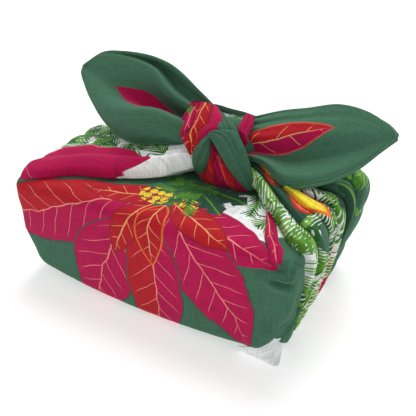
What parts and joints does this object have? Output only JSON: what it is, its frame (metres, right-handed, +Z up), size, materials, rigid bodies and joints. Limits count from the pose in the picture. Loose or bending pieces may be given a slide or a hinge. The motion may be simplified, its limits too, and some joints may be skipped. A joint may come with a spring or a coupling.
{
  "type": "furoshiki wrap",
  "caption": "Square printed cotton cloth wrapped round a flat rectangular parcel, its corners drawn up in a knot with two open ears.",
  "frame": {"origin": "middle of the parcel's flat under side", "axes": "+X along the parcel towards the pleated band, -Y towards the side with the large flower, +Z up through the knot"},
  "size_m": [0.2796, 0.152, 0.172],
  "materials": {
    "printed_cotton": "plain-woven slub cotton, printed with flowers and leaves on a dark green ground"
  },
  "bodies": {
    "root": {"furoshiki_cloth": "printed_cotton"}
  },
  "joints": []
}
